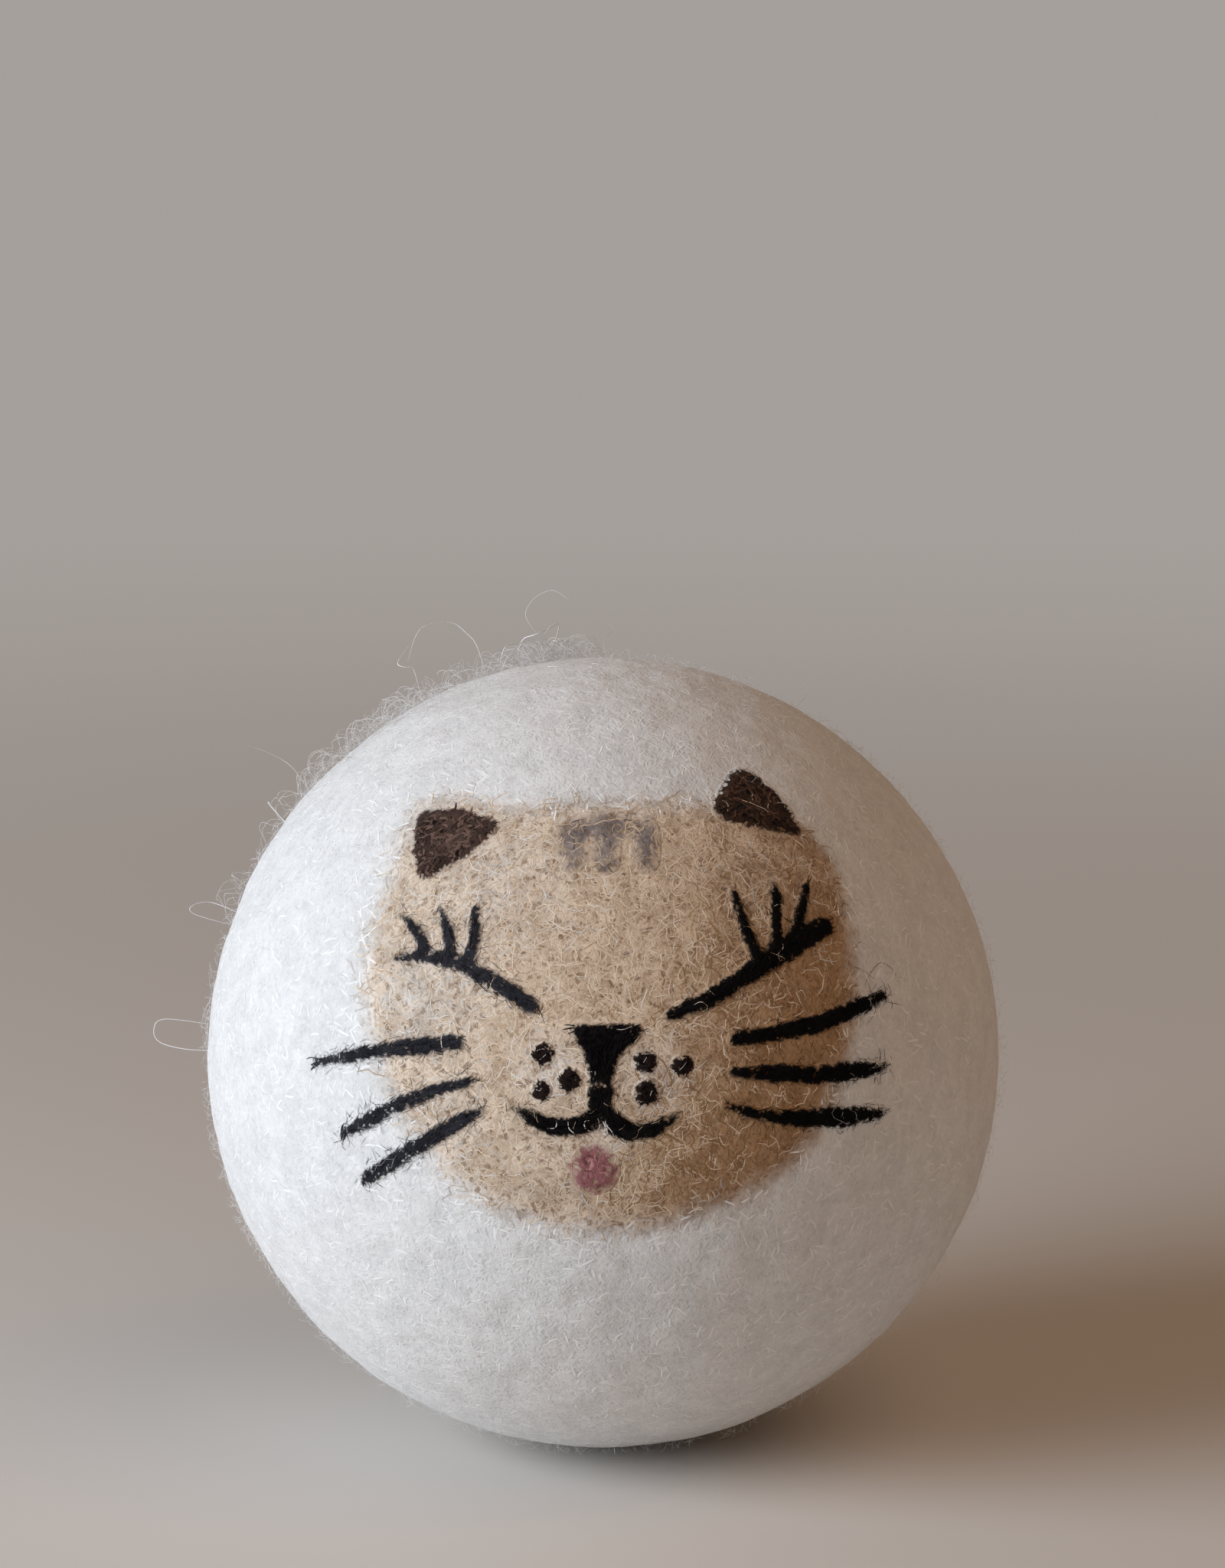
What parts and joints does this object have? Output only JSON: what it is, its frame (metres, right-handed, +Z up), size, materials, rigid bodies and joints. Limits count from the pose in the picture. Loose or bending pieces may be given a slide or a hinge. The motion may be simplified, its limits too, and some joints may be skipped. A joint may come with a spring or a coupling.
{
  "type": "felt dryer ball",
  "caption": "Felted wool ball that tumbles with laundry in a dryer, with a sleeping cat's face needle-felted into its front in dyed wool.",
  "frame": {"origin": "centre of the ball", "axes": "+Z up, the face looks along -Y and tips up by 14 degrees, +X to the viewer's right"},
  "size_m": [0.0702, 0.0701, 0.07],
  "materials": {
    "white_wool": "felted wool, fuzzy",
    "tan_wool": "needle-felted wool, fuzzy",
    "brown_wool": "needle-felted wool, fuzzy",
    "grey_wool": "needle-felted wool, fuzzy",
    "black_wool": "needle-felted wool, fuzzy",
    "pink_wool": "needle-felted wool, fuzzy"
  },
  "bodies": {
    "root": {"felt_ball": "white_wool", "face_pad": "tan_wool", "ear_left": "brown_wool", "ear_right": "brown_wool", "forehead_mark": "grey_wool", "nose": "black_wool", "mouth": "black_wool", "eye_left": "black_wool", "eye_right": "black_wool", "freckle_left_1": "black_wool", "freckle_left_2": "black_wool", "freckle_left_3": "black_wool", "freckle_right_1": "black_wool", "freckle_right_2": "black_wool", "freckle_right_3": "black_wool", "tongue": "pink_wool", "whisker_left_upper": "black_wool", "whisker_left_middle": "black_wool", "whisker_left_lower": "black_wool", "whisker_right_upper": "black_wool", "whisker_right_middle": "black_wool", "whisker_right_lower": "black_wool"}
  },
  "joints": []
}
